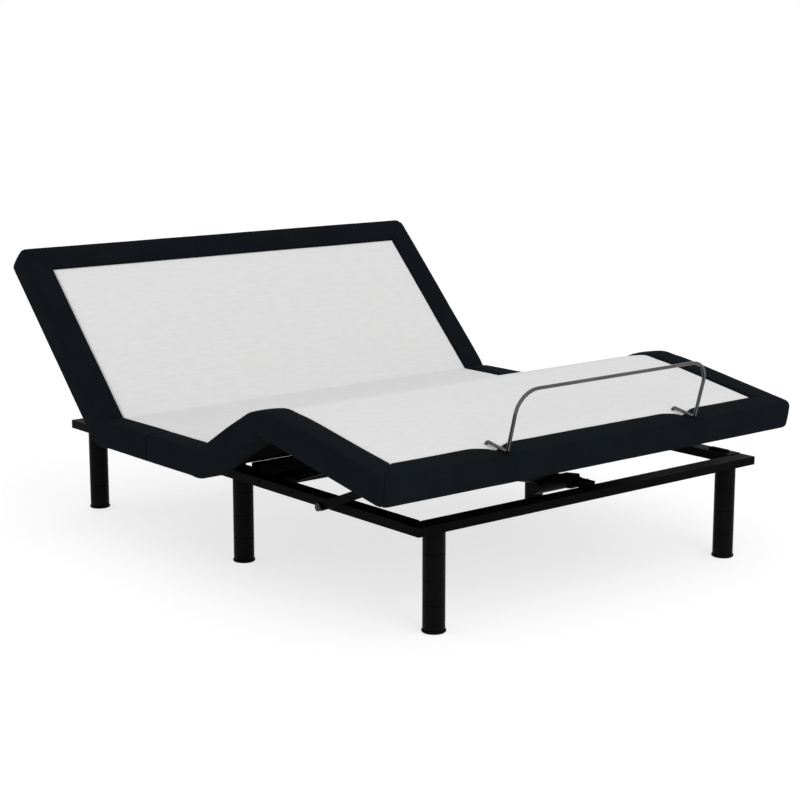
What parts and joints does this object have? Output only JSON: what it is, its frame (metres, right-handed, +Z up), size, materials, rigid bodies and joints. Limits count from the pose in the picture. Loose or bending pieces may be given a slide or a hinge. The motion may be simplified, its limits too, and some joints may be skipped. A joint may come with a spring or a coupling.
{
  "type": "adjustable bed base",
  "caption": "Adjustable bed base with a raised head section and bent knee section, upholstered in dark cloth with a pale deck, on a black steel frame with round legs.",
  "frame": {"origin": "on the floor, under the middle of the outline of the bed in its pictured pose", "axes": "+X across the bed to the right seen from the foot end, +Y from the foot end to the head end, +Z up"},
  "size_m": [1.524, 1.884, 0.8331],
  "materials": {
    "powder_coat": "black powder coat",
    "white_fabric": "white non-woven cloth over foam",
    "navy_fabric": "very dark navy woven upholstery",
    "black_board": "plywood with a black cover underneath",
    "rubber": "black rubber",
    "zinc": "zinc-plated steel",
    "black_plastic": "black moulded plastic",
    "bar_steel": "dark bright-drawn steel"
  },
  "bodies": {
    "base": {"side_rail_left": "powder_coat", "side_rail_right": "powder_coat", "foot_rail": "powder_coat", "head_rail": "powder_coat", "cross_tube": "powder_coat", "leg_foot_left": "black_plastic", "leg_foot_right": "black_plastic", "leg_middle_left": "black_plastic", "leg_middle_right": "black_plastic", "leg_head_left": "black_plastic", "leg_head_right": "black_plastic", "seat_board": "black_board", "seat_pad": "white_fabric", "seat_border_left": "navy_fabric", "seat_border_right": "navy_fabric", "head_hinge_fixed_leaf": "zinc", "thigh_hinge_fixed_leaf": "zinc", "control_box": "black_plastic", "calf_link_bolt_left": "zinc", "calf_link_bolt_right": "zinc", "rail_pad_left": "rubber", "rail_pad_right": "rubber"},
    "head_section": {"head_board": "black_board", "head_pad": "white_fabric", "head_border_left": "navy_fabric", "head_border_right": "navy_fabric", "head_border_top": "navy_fabric", "head_hinge_moving_leaf": "zinc", "head_bracket_left": "powder_coat", "head_bracket_right": "powder_coat"},
    "thigh_section": {"thigh_board": "black_board", "thigh_pad": "white_fabric", "thigh_border_left": "navy_fabric", "thigh_border_right": "navy_fabric", "thigh_hinge_moving_leaf": "zinc", "knee_hinge_thigh_leaf": "zinc", "thigh_bracket_left": "powder_coat", "thigh_bracket_right": "powder_coat"},
    "calf_section": {"calf_board": "black_board", "calf_pad": "white_fabric", "calf_border_left": "navy_fabric", "calf_border_right": "navy_fabric", "calf_border_foot": "navy_fabric", "knee_hinge_calf_leaf": "zinc"},
    "head_lift": {"head_lift_tube": "powder_coat"},
    "head_links": {"head_lift_link_left": "zinc", "head_lift_link_right": "zinc"},
    "foot_lift": {"foot_lift_tube": "powder_coat"},
    "foot_links": {"foot_lift_link_left": "zinc", "foot_lift_link_right": "zinc"},
    "head_actuator": {"head_actuator_motor": "black_plastic", "head_actuator_tube": "black_plastic"},
    "head_actuator_rod": {"head_actuator_rod": "bar_steel"},
    "foot_actuator": {"foot_actuator_motor": "black_plastic", "foot_actuator_tube": "black_plastic"},
    "foot_actuator_rod": {"foot_actuator_rod": "bar_steel"},
    "calf_link_left": {"calf_link_left": "powder_coat"},
    "calf_link_right": {"calf_link_right": "powder_coat"},
    "retainer": {"retainer_bar": "bar_steel"}
  },
  "joints": [
    {"name": "head_hinge", "type": "hinge", "parent": "base", "child": "head_section", "pos_m": [0, 0.4459, 0.335], "axis": [1, 0, 0], "range_deg": [-45.7, 14.3]},
    {"name": "head_lift_turn", "type": "hinge", "parent": "base", "child": "head_lift", "pos_m": [0, 0.5559, 0.2855], "axis": [1, 0, 0], "range_deg": [-45.75, 14.35]},
    {"name": "head_link_turn", "type": "hinge", "parent": "head_lift", "child": "head_links", "pos_m": [0, 0.70236, 0.3829], "axis": [1, 0, 0], "range_deg": [-14.35, 45.75]},
    {"name": "head_actuator_tilt", "type": "hinge", "parent": "base", "child": "head_actuator", "pos_m": [0, -0.0577, 0.268], "axis": [1, 0, 0], "range_deg": [-0.507, 0.193]},
    {"name": "head_actuator_stroke", "type": "slide", "parent": "head_actuator", "child": "head_actuator_rod", "axis": [0, 0.998, -0.0638], "range_m": [-0.04931, 0.01563]},
    {"name": "thigh_hinge", "type": "hinge", "parent": "base", "child": "thigh_section", "pos_m": [0, -0.095, 0.335], "axis": [-1, 0, 0], "range_deg": [-31, 3]},
    {"name": "knee_hinge", "type": "hinge", "parent": "thigh_section", "child": "calf_section", "pos_m": [0, -0.37951, 0.47329], "axis": [1, 0, 0], "range_deg": [-41.65, 4.08]},
    {"name": "foot_lift_turn", "type": "hinge", "parent": "base", "child": "foot_lift", "pos_m": [0, -0.2197, 0.2855], "axis": [-1, 0, 0], "range_deg": [-31.05, 3.05]},
    {"name": "foot_link_turn", "type": "hinge", "parent": "foot_lift", "child": "foot_links", "pos_m": [0, -0.38609, 0.34254], "axis": [-1, 0, 0], "range_deg": [-3.05, 31.05]},
    {"name": "foot_actuator_tilt", "type": "hinge", "parent": "base", "child": "foot_actuator", "pos_m": [0, -0.7727, 0.289], "axis": [-1, 0, 0], "range_deg": [-0.422, 0.086]},
    {"name": "foot_actuator_stroke", "type": "slide", "parent": "foot_actuator", "child": "foot_actuator_rod", "axis": [0, 0.9935, -0.1139], "range_m": [-0.0034, 0.03237]},
    {"name": "calf_link_left_turn", "type": "hinge", "parent": "base", "child": "calf_link_left", "pos_m": [0, -0.5017, 0.2745], "axis": [-1, 0, 0], "range_deg": [-17.88, 1.77]},
    {"name": "calf_link_right_turn", "type": "hinge", "parent": "base", "child": "calf_link_right", "pos_m": [0, -0.5017, 0.2745], "axis": [-1, 0, 0], "range_deg": [-17.88, 1.77]},
    {"name": "retainer_lift_out", "type": "slide", "parent": "calf_section", "child": "retainer", "axis": [0, -0.184, 0.9829], "range_m": [0, 0.06]}
  ],
  "couplings": [
    {"joint": "head_lift_turn", "follows": "head_hinge", "ratio": 1},
    {"joint": "head_link_turn", "follows": "head_hinge", "ratio": -1},
    {"joint": "head_actuator_tilt", "follows": "head_hinge", "ratio": 0.01},
    {"joint": "head_actuator_stroke", "follows": "head_hinge", "m_per_rad": 0.06144},
    {"joint": "knee_hinge", "follows": "thigh_hinge", "ratio": 1.3419},
    {"joint": "foot_lift_turn", "follows": "thigh_hinge", "ratio": 1},
    {"joint": "foot_link_turn", "follows": "thigh_hinge", "ratio": -1},
    {"joint": "foot_actuator_tilt", "follows": "thigh_hinge", "ratio": 0.012},
    {"joint": "foot_actuator_stroke", "follows": "thigh_hinge", "m_per_rad": -0.05928},
    {"joint": "calf_link_left_turn", "follows": "thigh_hinge", "ratio": 0.575},
    {"joint": "calf_link_right_turn", "follows": "thigh_hinge", "ratio": 0.575}
  ]
}
